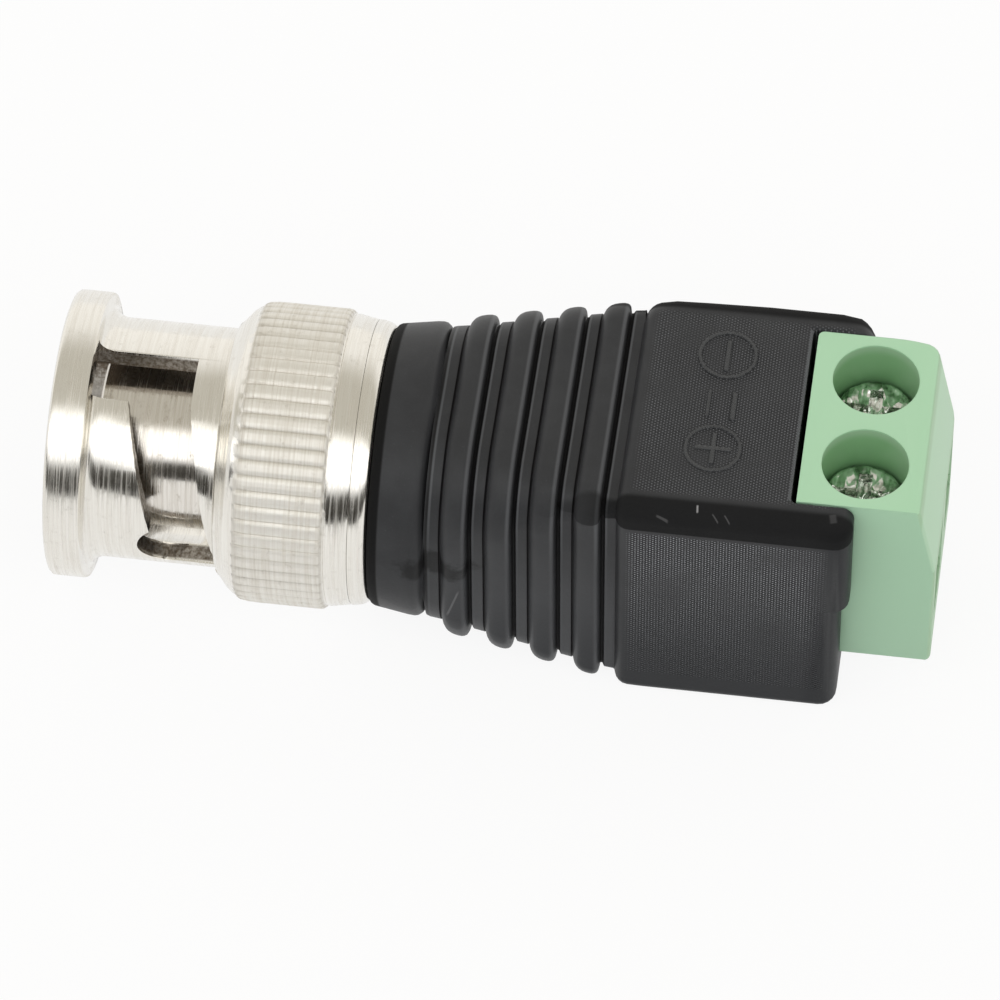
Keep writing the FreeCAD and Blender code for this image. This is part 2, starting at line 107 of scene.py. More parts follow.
def pick(kind, test):
    # kind is "verts", "edges" or "faces"; test gets the middle of each in mm, and the normal of a face
    mesh = bmesh.from_edit_mesh(bpy.context.object.data)
    for group in (mesh.verts, mesh.edges, mesh.faces):
        for item in group:
            item.select = False
    for item in getattr(mesh, kind):
        if kind == "verts":
            found = test(item.co / mm)
        elif kind == "edges":
            found = test((item.verts[0].co + item.verts[1].co) / 2 / mm, (item.verts[1].co - item.verts[0].co) / mm)
        else:
            found = test(item.calc_center_median() / mm, item.normal)
        if found:
            item.select_set(True)
    mesh.select_flush_mode()
    bmesh.update_edit_mesh(bpy.context.object.data)


def pickSharp(angle, test):
    # edges whose two faces meet at more than the angle
    mesh = bmesh.from_edit_mesh(bpy.context.object.data)
    for group in (mesh.verts, mesh.edges, mesh.faces):
        for item in group:
            item.select = False
    for edge in mesh.edges:
        middle = (edge.verts[0].co + edge.verts[1].co) / 2 / mm
        if edge.is_manifold and edge.calc_face_angle() > math.radians(angle) and test(middle):
            edge.select_set(True)
    mesh.select_flush_mode()
    bmesh.update_edit_mesh(bpy.context.object.data)


def pickMode(kind):
    bpy.ops.mesh.select_mode(type={"verts": "VERT", "edges": "EDGE", "faces": "FACE"}[kind])


def addRing(name, x, radius, count):
    # an open ring of points across X, left in edit mode with all of it selected
    startFresh()
    bpy.ops.mesh.primitive_circle_add(vertices=count, radius=radius * mm, location=(x * mm, 0, 0),
                                      rotation=(0, math.pi / 2, 0))
    piece = bpy.context.object
    piece.name = name
    bpy.ops.object.transform_apply(location=True, rotation=True, scale=True)
    bpy.ops.object.mode_set(mode="EDIT")
    bpy.ops.mesh.select_mode(type="VERT")
    bpy.ops.mesh.select_all(action="SELECT")
    return piece


def nextRing(x0, r0, x1, r1):
    bpy.ops.mesh.extrude_edges_move(TRANSFORM_OT_translate={"value": ((x1 - x0) * mm, 0, 0)})
    if abs(r1 - r0) > 1e-9:
        bpy.ops.transform.resize(value=(1, r1 / r0, r1 / r0), center_override=(0, 0, 0))


def closeUp():
    bpy.ops.mesh.select_all(action="SELECT")
    bpy.ops.mesh.remove_doubles(threshold=1e-7)
    bpy.ops.mesh.normals_make_consistent(inside=False)
    bpy.ops.object.mode_set(mode="OBJECT")


def lathe(name, stations, count):
    # closed turned piece; the stations run once round its outline
    piece = addRing(name, stations[0][0], stations[0][1], count)
    for (x0, r0), (x1, r1) in zip(stations, stations[1:] + stations[:1]):
        nextRing(x0, r0, x1, r1)
    closeUp()
    return piece


def block(name, x0, x1, y0, y1, z0, z1):
    startFresh()
    bpy.ops.mesh.primitive_cube_add(size=1, location=((x0 + x1) / 2 * mm, (y0 + y1) / 2 * mm, (z0 + z1) / 2 * mm),
                                    scale=((x1 - x0) * mm, (y1 - y0) * mm, (z1 - z0) * mm))
    piece = bpy.context.object
    piece.name = name
    bpy.ops.object.transform_apply(location=True, rotation=True, scale=True)
    return piece


def post(name, x, y, z0, z1, radius, count):
    startFresh()
    bpy.ops.mesh.primitive_cylinder_add(vertices=count, radius=radius * mm, depth=(z1 - z0) * mm,
                                        location=(x * mm, y * mm, (z0 + z1) / 2 * mm))
    piece = bpy.context.object
    piece.name = name
    bpy.ops.object.transform_apply(location=True, rotation=True, scale=True)
    return piece


def useModifier(piece, kind, **settings):
    startFresh()
    bpy.context.view_layer.objects.active = piece
    piece.select_set(True)
    modifier = piece.modifiers.new(kind.lower(), kind)
    for key, value in settings.items():
        setattr(modifier, key, value)
    bpy.ops.object.modifier_apply(modifier=modifier.name)


def cutAway(piece, tools):
    for tool in tools:
        useModifier(piece, "BOOLEAN", operation="DIFFERENCE", object=tool, solver="EXACT")
        bpy.data.objects.remove(tool, do_unlink=True)


def softEdges(piece, width, angle, segments=2):
    useModifier(piece, "BEVEL", width=width * mm, segments=segments, limit_method="ANGLE",
                angle_limit=math.radians(angle), harden_normals=False, loop_slide=False, profile=0.6)


def smooth(piece, angle=32):
    startFresh()
    bpy.context.view_layer.objects.active = piece
    piece.select_set(True)
    bpy.ops.object.shade_smooth_by_angle(angle=math.radians(angle))


def weighNormals(piece):
    useModifier(piece, "WEIGHTED_NORMAL", mode="FACE_AREA", weight=60, keep_sharp=True)


def copyOf(piece, name, shift=(0, 0, 0), turnX=0.0):
    twin = piece.copy()
    twin.data = piece.data.copy()
    twin.name = name
    bpy.context.collection.objects.link(twin)
    twin.data.transform(Matrix.Rotation(turnX, 4, "X"))
    twin.data.transform(Matrix.Translation(Vector(shift) * mm))
    return twin


def settle(piece, finish, slot, body, *stands):
    piece.data.name = piece.name
    piece.data.materials.clear()
    piece.data.materials.append(finish)
    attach(piece, body)
    if stands:
        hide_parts(*stands)


# shader helpers --------------------------------------------------

class Signal:
    # one socket of a node tree that can be added, multiplied and so on
    def __init__(self, tree, socket):
        self.tree = tree
        self.socket = socket

    def maths(self, operation, *values):
        node = self.tree.nodes.new("ShaderNodeMath")
        node.operation = operation
        for slot, value in zip(node.inputs, values):
            if isinstance(value, Signal):
                self.tree.links.new(value.socket, slot)
            else:
                slot.default_value = value
        return Signal(self.tree, node.outputs[0])

    def __add__(self, other):
        return self.maths("ADD", self, other)

    def __radd__(self, other):
        return self.maths("ADD", other, self)

    def __sub__(self, other):
        return self.maths("SUBTRACT", self, other)

    def __rsub__(self, other):
        return self.maths("SUBTRACT", other, self)

    def __mul__(self, other):
        return self.maths("MULTIPLY", self, other)

    def __rmul__(self, other):
        return self.maths("MULTIPLY", other, self)

    def __truediv__(self, other):
        return self.maths("DIVIDE", self, other)

    def __gt__(self, other):
        return self.maths("GREATER_THAN", self, other)

    def __lt__(self, other):
        return self.maths("LESS_THAN", self, other)

    def __abs__(self):
        return self.maths("ABSOLUTE", self)

    def __pow__(self, other):
        return self.maths("POWER", self, other)

    def cosine(self):
        return self.maths("COSINE", self)

    def root(self):
        return self.maths("SQRT", self)

    def fraction(self):
        return self.maths("FRACT", self)

    def between(self, low, high):
        # 0 at low, 1 at high, smooth in between
        node = self.tree.nodes.new("ShaderNodeMapRange")
        node.interpolation_type = "SMOOTHSTEP"
        self.tree.links.new(self.socket, node.inputs["Value"])
        node.inputs["From Min"].default_value = low
        node.inputs["From Max"].default_value = high
        return Signal(self.tree, node.outputs[0])


class Finish:
    # a node material (or the world) built from plain calls
    def __init__(self, owner):
        owner.use_nodes = True
        self.owner = owner
        self.tree = owner.node_tree
        self.tree.nodes.clear()

    def add(self, kind, settings=None, inputs=None, output=0):
        node = self.tree.nodes.new(kind)
        for key, value in (settings or {}).items():
            if key == "stops":
                ramp = node.color_ramp
                while len(ramp.elements) < len(value):
                    ramp.elements.new(0.5)
                for element, (place, colour) in zip(ramp.elements, value):
                    element.position = place
                    element.color = tuple(colour) + (1,)
            else:
                setattr(node, key, value)
        for key, value in (inputs or {}).items():
            if isinstance(value, Signal):
                self.tree.links.new(value.socket, node.inputs[key])
            else:
                node.inputs[key].default_value = value
        return Signal(self.tree, node.outputs[output]) if node.outputs else node

    def place(self):
        # object coordinates in mm, as x, y, z
        coords = self.add("ShaderNodeTexCoord", output=3)
        scaled = self.add("ShaderNodeVectorMath", {"operation": "SCALE"}, {0: coords, "Scale": 1000.0})
        parts = self.tree.nodes.new("ShaderNodeSeparateXYZ")
        self.tree.links.new(scaled.socket, parts.inputs[0])
        return [Signal(self.tree, out) for out in parts.outputs]

    def vector(self, x, y, z):
        return self.add("ShaderNodeCombineXYZ", inputs={0: x, 1: y, 2: z})

    def noise(self, vector, scale, detail=2.0, rough=0.5):
        return self.add("ShaderNodeTexNoise", inputs={"Vector": vector, "Scale": scale, "Detail": detail,
                                                      "Roughness": rough})

    def tint(self, amount, first, second):
        first = first if isinstance(first, Signal) else tuple(first) + (1,)
        second = second if isinstance(second, Signal) else tuple(second) + (1,)
        return self.add("ShaderNodeMix", {"data_type": "RGBA"}, {0: amount, 6: first, 7: second}, output=2)

    def bump(self, height, distance, strength=1.0, below=None):
        inputs = {"Height": height, "Distance": distance * mm, "Strength": strength}
        if below is not None:
            inputs["Normal"] = below
        return self.add("ShaderNodeBump", inputs=inputs)

    def scratch(self, u, v, start, end, width):
        # 1 along a short line from start to end on the u, v plane
        length = math.dist(start, end)
        along = ((end[0] - start[0]) / length, (end[1] - start[1]) / length)
        du = u - (start[0] + end[0]) / 2
        dv = v - (start[1] + end[1]) / 2
        aside = abs(du * along[1] - dv * along[0])
        reach = abs(du * along[0] + dv * along[1])
        return (1 - aside.between(width * 0.4, width)) * (1 - reach.between(length * 0.35, length * 0.55))

    def surface(self, **sockets):
        shader = self.add("ShaderNodeBsdfPrincipled", inputs={name.replace("_", " "): value
                                                              for name, value in sockets.items()})
        self.add("ShaderNodeOutputMaterial", inputs={"Surface": shader})
        return self.owner


def newFinish(name):
    return Finish(bpy.data.materials.new(name))


# finishes --------------------------------------------------------

def turnedNickel(name, settings):
    finish = newFinish(name)
    x, y, z = finish.place()
    radius = (y * y + z * z).root()
    streak = finish.noise(finish.vector(x * 9.0, y * 0.22, z * 0.22), settings["lines"], 3.0, 0.6)
    fine = finish.noise(finish.vector(x * 24.0, y * 0.35, z * 0.35), 1.0, 2.0, 0.5)
    stain = finish.noise(finish.vector(x, y, z), 2.2, 4.0, 0.65).between(0.55, 0.78)
    speck = finish.noise(finish.vector(x, y, z), 5.0, 4.0, 0.7)
    # cut walls of the slots and the far side of the bore stay rough; the cut walls are stained brown, and the upper
    # part of the bore and the bore by the mouth are painted dark as painted shade
    inside = 1 - radius.between(*settings["boreRadius"])
    wall = (1 - radius.between(*settings["wallRadius"])) * (1 - inside)
    mouthward = 1 - x.between(2.4, 2.8)
    grimeAndShadeArea = (wall + inside * (z.between(-2.5, 0.5) + mouthward * 0.6)) * x.between(0.1, 0.5)
    grimeAndShade = grimeAndShadeArea * (0.55 + speck.between(0.3, 0.65) * 0.45)
    grip = x.between(9.1, 9.35) * (1 - x.between(13.4, 13.6)) * radius.between(6.95, 7.02)
    colour = finish.tint(streak.between(0.3, 0.75), settings["pale"], settings["warm"])
    # painted shade in the grooves of the knurl
    knurlGrooveShade = grip * (1 - radius.between(7.2, 7.26))
    colour = finish.tint(stain * settings["stain"] + knurlGrooveShade * 0.28, colour, settings["dull"])
    # brown stain on the cut walls, painted shade in the bore
    colour = finish.tint(grimeAndShade, colour, settings["grimeAndShade"])
    rough = settings["rough"] + streak.between(0.35, 0.8) * settings["cloud"] + stain * 0.08
    flange = 1 - x.between(1.7, 1.8)
    rough = rough + (fine.between(0.45, 0.75) + flange * 0.2) * settings["cloud"]
    rough = rough + grimeAndShade * 0.3 + grip * settings["gripRough"]
    normal = finish.bump(streak + fine * 0.5 + speck * grimeAndShadeArea * 5.0, settings["depth"])
    return finish.surface(Base_Color=colour, Metallic=1.0, Roughness=rough, Normal=normal)


def mouldedBlack(name, settings):
    finish = newFinish(name)
    x, y, z = finish.place()
    # dots in staggered rows, only on the flats of the box
    pitch = 2 * math.pi / settings["dotPitch"]
    side = abs(y).between(6.6, 6.72)
    across = y * (1 - side) + z * side
    rows = (x * pitch).cosine()
    slant = (x * (pitch / 2) + across * (pitch * 0.866)).cosine()
    otherSlant = (x * (pitch / 2) - across * (pitch * 0.866)).cosine()
    dots = (rows + slant + otherSlant) * 0.33
    worn = finish.noise(finish.vector(x, y, z), 0.4, 2.0).between(0.3, 0.6)
    inside = x.between(28.0, 28.6) * (1 - x.between(37.2, 37.9))
    onTop = (1 - abs(y).between(5.2, 5.6)) * (1 - side)
    onSide = (1 - abs(z).between(5.4, 5.6)) * side
    mask = inside * (onTop + onSide) * (0.35 + worn * 0.65)
    raised = z.between(7.2, 7.22)
    # the front rim of the collar is rougher and painted near black as painted shade
    rim = 1 - x.between(16.06, 16.2)
    # the long rounded edges of the box are rougher and painted dark as painted shade
    rounding = z.between(5.7, 5.77) * abs(y).between(5.55, 5.9) * x.between(23.0, 28.2)
    # painted shade in the grooves beside the ribs, and a painted highlight line along each rib, fainter low on the
    # flank
    ribbed = x.between(18.3, 18.5) * (1 - x.between(27.5, 27.62))
    spot = ((x - settings["firstRib"] + 0.9) / settings["ribPitch"]).fraction() * settings["ribPitch"]
    ribGrooveShade = spot.between(1.46, 1.53) * (1 - spot.between(1.66, 1.73)) + spot.between(0.08, 0.13) * (1 - spot.between(0.2, 0.26))
    ribGlint = spot.between(1.2, 1.33) * (1 - spot.between(1.39, 1.46)) + spot.between(1.7, 1.75) * (1 - spot.between(1.79, 1.86))
    ribGlint = ribGlint * ribbed * (0.3 + z.between(1.0, 6.0) * 0.7)
    # painted highlight along the edge of the recess behind the terminals
    lipGlint = x.between(35.54, 35.6) * (1 - x.between(35.7, 35.74)) * z.between(7.0, 7.06) * (1 - abs(y).between(5.1, 5.2))
    # painted shade: the flanks darken towards their foot, and below the top towards their open end
    flankShade = side * (1 - z.between(-6.5, 4.5)) * 0.8 + x.between(36.4, 38.4) * (1 - z.between(6.5, 7.1)) * 0.8
    grain = finish.noise(finish.vector(x, y, z), 9.0, 3.0, 0.6)
    dustAndSheen = finish.noise(finish.vector(x * 0.8, y, z), 14.0, 4.0, 0.7).between(0.58, 0.8)
    cloud = finish.noise(finish.vector(x, y, z), 0.5, 3.0, 0.6).between(0.35, 0.7)
    # a dark patch on the near side by the collar, and lighter scratches from handling along the edges, the last of
    # which is a painted glare on the corner at the end of the box
    sx = (x - settings["darkPatch"][0]) / settings["darkPatch"][2]
    sz = (z - settings["darkPatch"][1]) / settings["darkPatch"][3]
    blot = (sx * sx + sz * sz).root() + (finish.noise(finish.vector(x, y, z), 1.2, 3.0, 0.6) - 0.5) * 1.4
    # a dark patch on the near side by the collar
    darkPatch = (1 - blot.between(0.55, 1.05)) * (1 - y.between(-4.5, -3.5))
    nicksAndGlare = finish.scratch(x, z, *settings["flankNick"]) * (1 - y.between(-5.0, -4.5)) * 0.25
    for start, end, width, strength in settings["edgeNicksAndGlare"]:
        nicksAndGlare = nicksAndGlare + finish.scratch(x, y, start, end, width) * z.between(6.0, 6.1) * strength
    # the rounded part is painted a little paler underneath, as painted reflection of the floor
    underSheen = x.between(17.5, 20.0) * (1 - x.between(27.4, 27.7)) * (1 - z.between(-2.0, 4.5))
    # pale specks, random tone and the painted reflection underneath
    colour = finish.tint(dustAndSheen * 0.3 + cloud * 0.06 + underSheen * 0.3, settings["base"], settings["dustAndSheen"])
    colour = finish.tint((1 - dots.between(-0.45, 0.3)) * mask * (0.35 + side * 0.4), colour, settings["foot"])
    colour = finish.tint(dots.between(0.15, 0.85) * mask * (0.35 + side * 0.65), colour, settings["dot"])
    # painted shade on the flanks and towards the open end
    colour = finish.tint(flankShade, colour, settings["foot"])
    # painted highlights along the ribs and along the edge of the recess
    colour = finish.tint(ribGlint * 0.55 + lipGlint * 0.8, colour, settings["dustAndSheen"])
    # the raised marks are painted a lighter black as painted highlight, and are glossier
    colour = finish.tint(raised, colour, settings["mark"])
    # painted shade on the collar rim, the rounded edges and the grooves beside the ribs; the dark patch takes the same
    # tone
    colour = finish.tint(rim + rounding * 0.8 + ribGrooveShade * ribbed * 0.85 + darkPatch * 0.8, colour, settings["rim"])
    # scratches from handling, and the painted glare on the end corner
    colour = finish.tint(nicksAndGlare, colour, settings["bare"])
    rough = settings["rough"] + (grain - 0.5) * 0.16 - raised * 0.12 + (rim * 0.75 + rounding) * 0.4
    fineBump = finish.bump(grain, settings["grainDepth"])
    normal = finish.bump(dots * mask, settings["dotDepth"], below=fineBump)
    return finish.surface(Base_Color=colour, Roughness=rough, Normal=normal, Specular_IOR_Level=0.22)


def greenPlastic(name, settings):
    finish = newFinish(name)
    x, y, z = finish.place()
    cloud = finish.noise(finish.vector(x, y, z), 0.35, 3.0, 0.5)
    speck = finish.noise(finish.vector(x, y, z), 12.0, 2.0, 0.5)
    colour = finish.tint(cloud.between(0.3, 0.7), settings["base"], settings["pale"])
    # painted light: the top, the slope and the flanks take lighter tones than the rest of the block
    colour = finish.tint(z.between(7.0, 7.1), colour, settings["top"])
    colour = finish.tint(x.between(41.9, 42.0) * z.between(2.5, 2.7), colour, settings["slope"])
    colour = finish.tint(abs(y).between(5.1, 5.14), colour, settings["flank"])
    # painted shade: the holes over the screws are painted darker down inside, less so on the side towards +X
    across = abs(y) - settings["pole"]
    along = x - settings["screwX"]
    hole = 1 - (across * across + along * along).root().between(2.1, 2.16)
    deep = hole * (1 - z.between(6.3, 7.05)) * (1 - along.between(0.6, 2.0) * 0.5)
    colour = finish.tint(deep * 0.8 + hole * 0.1, colour, settings["deep"])
    rough = settings["rough"] + (speck - 0.5) * 0.1
    normal = finish.bump(speck, 0.003)
    return finish.surface(Base_Color=colour, Roughness=rough, Normal=normal)


def beatenSteel(name, settings):
    finish = newFinish(name)
    x, y, z = finish.place()
    facets = finish.add("ShaderNodeTexVoronoi", {"feature": "F1"},
                        {"Vector": finish.vector(x * 1.5, y * 0.7, z * 0.4), "Scale": settings["facet"],
                          "Randomness": 1.0})
    lump = finish.noise(finish.vector(x * 1.5, y * 0.8, z), 1.3, 1.5, 0.45)
    tarnish = finish.noise(finish.vector(x, y, z), 1.1, 3.0, 0.6).between(0.42, 0.66)
    colour = finish.tint(tarnish, settings["pale"], settings["dull"])
    normal = finish.bump(facets + lump * 1.4, settings["depth"])
    return finish.surface(Base_Color=colour, Metallic=1.0, Roughness=settings["rough"] + tarnish * 0.12,
                          Normal=normal)


def plainMetal(name, colour, dull, rough):
    finish = newFinish(name)
    x, y, z = finish.place()
    brush = finish.noise(finish.vector(x * 2.0, y * 14.0, z * 2.0), 1.5, 3.0, 0.6)
    mixed = finish.tint(brush.between(0.35, 0.75), colour, dull)
    return finish.surface(Base_Color=mixed, Metallic=1.0, Roughness=rough + (brush - 0.5) * 0.12,
                          Normal=finish.bump(brush, 0.004))


def plainPlastic(name, colour, dull, rough):
    finish = newFinish(name)
    x, y, z = finish.place()
    grain = finish.noise(finish.vector(x, y, z), 7.0, 3.0, 0.6)
    mixed = finish.tint(grain.between(0.35, 0.7), colour, dull)
    return finish.surface(Base_Color=mixed, Roughness=rough + (grain - 0.5) * 0.12, Normal=finish.bump(grain, 0.006))


satinNickel = turnedNickel("satinNickel", {"pale": (0.86, 0.84, 0.79), "warm": (0.79, 0.76, 0.70),
                                           "dull": (0.42, 0.38, 0.32), "stain": 0.25, "rough": 0.1,
                                           "cloud": 0.19, "lines": 1.0, "depth": 0.003,
                                           "wallRadius": (5.6, 5.78), "boreRadius": (4.95, 5.05),
                                           "grimeAndShade": (0.15, 0.12, 0.09), "gripRough": 0.42})
barrelNickel = turnedNickel("barrelNickel", {"pale": (0.80, 0.77, 0.72), "warm": (0.68, 0.64, 0.58),
                                             "dull": (0.34, 0.29, 0.22), "stain": 0.55, "rough": 0.12,
                                             "cloud": 0.15, "lines": 0.9, "depth": 0.005,
                                             "wallRadius": (3.9, 4.0), "boreRadius": (3.4, 3.5),
                                             "grimeAndShade": (0.2, 0.16, 0.12), "gripRough": 0.0})
blackMoulding = mouldedBlack("blackMoulding", {"base": (0.033, 0.034, 0.0368), "dustAndSheen": (0.125, 0.13, 0.14),
                                               "dot": (0.36, 0.37, 0.4),
                                               "foot": (0.0085, 0.0098, 0.0125), "mark": (0.062, 0.064, 0.067),
                                               "rim": (0.002, 0.002, 0.0022), "bare": (0.3, 0.3, 0.31),
                                               "rough": 0.44, "dotPitch": 0.14, "dotDepth": 0.035,
                                               "grainDepth": 0.006, "firstRib": 19.85, "ribPitch": 2.13,
                                               "darkPatch": (18.9, 1.0, 2.1, 0.9),
                                               "flankNick": ((20.1, -0.47), (19.5, -2.6), 0.07),
                                               "edgeNicksAndGlare": [((31.4, -5.97), (31.43, -6.33), 0.06, 0.9),
                                                             ((32.13, -6.3), (32.45, -6.6), 0.04, 0.2),
                                                             ((32.7, -6.3), (33.0, -6.6), 0.04, 0.2),
                                                             ((29.5, -6.55), (30.1, -6.68), 0.05, 0.18),
                                                             # a painted glare on the corner at the end of the box
                                                             ((37.75, -5.75), (37.86, -6.2), 0.22, 0.12)]})
paleGreen = greenPlastic("paleGreen", {"base": (0.35, 0.545, 0.355), "pale": (0.37, 0.565, 0.375),
                                       "top": (0.435, 0.7, 0.472), "slope": (0.435, 0.65, 0.465),
                                       "flank": (0.362, 0.585, 0.405), "deep": (0.22, 0.445, 0.213), "pole": 2.54, "screwX": 38.97,
                                       "rough": 0.42})
screwSteel = beatenSteel("screwSteel", {"pale": (0.93, 0.95, 0.92), "dull": (0.36, 0.41, 0.34), "facet": 1.5,
                                        "depth": 0.26, "rough": 0.15})
pinGold = plainMetal("pinGold", (0.80, 0.62, 0.28), (0.68, 0.50, 0.20), 0.22)
springSteel = plainMetal("springSteel", (0.55, 0.54, 0.52), (0.42, 0.41, 0.40), 0.32)
cagePlate = plainMetal("cagePlate", (0.72, 0.71, 0.68), (0.58, 0.57, 0.54), 0.3)
barTin = plainMetal("barTin", (0.78, 0.78, 0.76), (0.64, 0.64, 0.62), 0.34)
whiteInsulator = plainPlastic("whiteInsulator", (0.82, 0.82, 0.78), (0.76, 0.75, 0.70), 0.42)
sealRubber = plainPlastic("sealRubber", (0.022, 0.022, 0.022), (0.04, 0.04, 0.04), 0.6)
leadRed = plainPlastic("leadRed", (0.45, 0.02, 0.015), (0.36, 0.016, 0.012), 0.4)
leadBlack = plainPlastic("leadBlack", (0.02, 0.02, 0.02), (0.035, 0.035, 0.035), 0.4)
print("stage: finishes ready")

cadFinish = {
    "plug_body": barrelNickel, "wave_washer": springSteel, "thrust_washer": springSteel,
    "clamp_cage_minus": cagePlate, "clamp_cage_plus": cagePlate,
    "contact_bar_minus": barTin, "contact_bar_plus": barTin,
    "live_lead": leadRed, "ground_lead": leadBlack,
    "coupling_nut": satinNickel, "rear_collar": satinNickel, "outer_contact": barrelNickel,
    "centre_pin": pinGold, "dielectric": whiteInsulator, "gasket": sealRubber,
    "moulded_body": blackMoulding, "terminal_housing": paleGreen,
    "clamp_screw_minus": screwSteel, "clamp_screw_plus": screwSteel,
}
for nodeName, finish in cadFinish.items():
    cadObject = nodes[nodeName] if not isinstance(nodes[nodeName], str) else bpy.data.objects[nodes[nodeName]]
    for place in range(max(1, len(cadObject.material_slots))):
        if not cadObject.material_slots:
            cadObject.data.materials.append(finish)
        cadObject.material_slots[place].material = finish

# bayonet nut -----------------------------------------------------

nut = {"teeth": 60, "toothPoints": 5, "grooveDepth": 0.09,
       "entry": (82.5, 109.5), "entryEnd": 6.6, "channelRadius": 5.65,
       "camFront": (3.58, 1.67), "camBack": (6.6, 1.4), "camStart": 104.5, "camEnd": 203.5,
       "seat": (5.86, 188.7, 1.5)}
nutOutline = [
    (0.0, 6.74), (0.05, 6.86), (0.16, 6.94), (0.3, 6.95), (1.6, 6.95), (1.74, 6.9), (1.78, 6.78),
    (1.78, 6.46), (1.83, 6.24), (1.95, 6.06), (2.14, 5.92), (2.36, 5.84), (2.6, 5.82),
    (8.04, 5.82), (8.08, 5.86), (8.09, 6.08), (8.13, 6.16), (8.22, 6.22), (8.68, 6.76), (8.95, 6.98),
    (9.13, 7.07), (9.2, 7.16), (9.34, 7.23), (9.7, 7.28), (10.2, 7.295), (13.2, 7.295), (13.36, 7.27),
    (13.48, 7.17), (13.52, 7.09), (13.58, 7.06), (13.64, 7.09), (13.72, 7.1), (14.6, 6.945), (14.7, 6.9),
    (14.7, 4.12), (13.26, 4.12), (13.26, 4.92), (0.25, 4.92), (0.06, 5.02), (0.0, 5.16),
]


def sectorTool(name, r0, r1, x0, x1, start, end, steps):
    # a slab swept about the X axis
    startFresh()
    bpy.ops.mesh.primitive_plane_add(size=1)
    piece = bpy.context.object
    piece.name = name
    bpy.ops.object.mode_set(mode="EDIT")
    bpy.ops.transform.resize(value=((x1 - x0) * mm, (r1 - r0) * mm, 1), center_override=(0, 0, 0))
    bpy.ops.transform.translate(value=((x0 + x1) / 2 * mm, (r0 + r1) / 2 * mm, 0))
    bpy.ops.transform.rotate(value=-math.radians(start), orient_axis="X", center_override=(0, 0, 0))
    for step in range(steps):
        bpy.ops.mesh.extrude_region_move(TRANSFORM_OT_translate={"value": (0, 0, 0)})
        bpy.ops.transform.rotate(value=-math.radians((end - start) / steps), orient_axis="X",
                                 center_override=(0, 0, 0))
    bpy.ops.mesh.select_all(action="SELECT")
    bpy.ops.mesh.normals_make_consistent(inside=False)
    bpy.ops.object.mode_set(mode="OBJECT")
    return piece


def camTool(name, r0, r1):
    # the helical part, its two edges rising at different rates
    span = nut["seat"][1] - nut["entry"][1]
    steps = 14
    angles = [nut["camStart"] + (nut["camEnd"] - nut["camStart"]) * index / steps for index in range(steps + 1)]
    edges = []
    for angle in angles:
        share = (angle - nut["entry"][1]) / span
        edges.append((nut["camFront"][0] + nut["camFront"][1] * share, nut["camBack"][0] + nut["camBack"][1] * share))
    startFresh()
    bpy.ops.mesh.primitive_plane_add(size=1)
    piece = bpy.context.object
    piece.name = name
    bpy.ops.object.mode_set(mode="EDIT")
    front, rear = edges[0]
    bpy.ops.transform.resize(value=((rear - front) * mm, (r1 - r0) * mm, 1), center_override=(0, 0, 0))
    bpy.ops.transform.translate(value=((rear + front) / 2 * mm, (r0 + r1) / 2 * mm, 0))
    bpy.ops.transform.rotate(value=-math.radians(angles[0]), orient_axis="X", center_override=(0, 0, 0))
    for before, after, turned in zip(edges, edges[1:], [b - a for a, b in zip(angles, angles[1:])]):
        middle = (before[0] + before[1]) / 2
        bpy.ops.mesh.extrude_region_move(TRANSFORM_OT_translate={"value": (0, 0, 0)})
        bpy.ops.transform.rotate(value=-math.radians(turned), orient_axis="X", center_override=(0, 0, 0))
        bpy.ops.transform.resize(value=((after[1] - after[0]) / (before[1] - before[0]), 1, 1),
                                 center_override=(middle * mm, 0, 0))
        bpy.ops.transform.translate(value=(((after[0] + after[1]) / 2 - middle) * mm, 0, 0))
    bpy.ops.mesh.select_all(action="SELECT")
    bpy.ops.mesh.normals_make_consistent(inside=False)
    bpy.ops.object.mode_set(mode="OBJECT")
    return piece


def seatTool(name):
    x, angle, radius = nut["seat"]
    startFresh()
    bpy.ops.mesh.primitive_cylinder_add(vertices=40, radius=radius * mm, depth=4 * mm, location=(0, 0, 6.2 * mm))
    piece = bpy.context.object
    piece.name = name
    bpy.ops.object.transform_apply(location=True, rotation=True, scale=True)
    piece.data.transform(Matrix.Translation((x * mm, 0, 0)) @ Matrix.Rotation(math.radians(angle - 90), 4, "X"))
    return piece


bayonetNut = addRing("bayonetNut", *nutOutline[0], nut["teeth"] * nut["toothPoints"])
for (x0, r0), (x1, r1) in zip(nutOutline, nutOutline[1:] + nutOutline[:1]):
    nextRing(x0, r0, x1, r1)
closeUp()
intoEdit(bayonetNut)
pickMode("verts")
toothAngle = 360 / nut["teeth"]
grooveAt = {}


def inGroove(point):
    place = math.degrees(math.atan2(point.z, point.y)) % toothAngle / toothAngle * nut["toothPoints"]
    return 9.18 < point.x < 13.5 and point.yz.length > 7.1 and abs(place - round(place)) < 0.1 and round(place) % 5 == 4


pick("verts", inGroove)
bpy.ops.transform.resize(value=(1, 1 - nut["grooveDepth"] / 7.3, 1 - nut["grooveDepth"] / 7.3),
                         center_override=(0, 0, 0))
bpy.ops.object.mode_set(mode="OBJECT")
slotTools = [
    sectorTool("channelTool", 4.4, nut["channelRadius"], -0.5, 2.3, *nut["entry"], 6),
    sectorTool("entryTool", 4.4, 7.6, 1.78, nut["entryEnd"], *nut["entry"], 6),
    camTool("camTool", 4.4, 7.4),
    seatTool("seatTool"),
]
tools = slotTools + [copyOf(tool, tool.name + "Far", turnX=math.pi) for tool in slotTools]
cutAway(bayonetNut, tools)
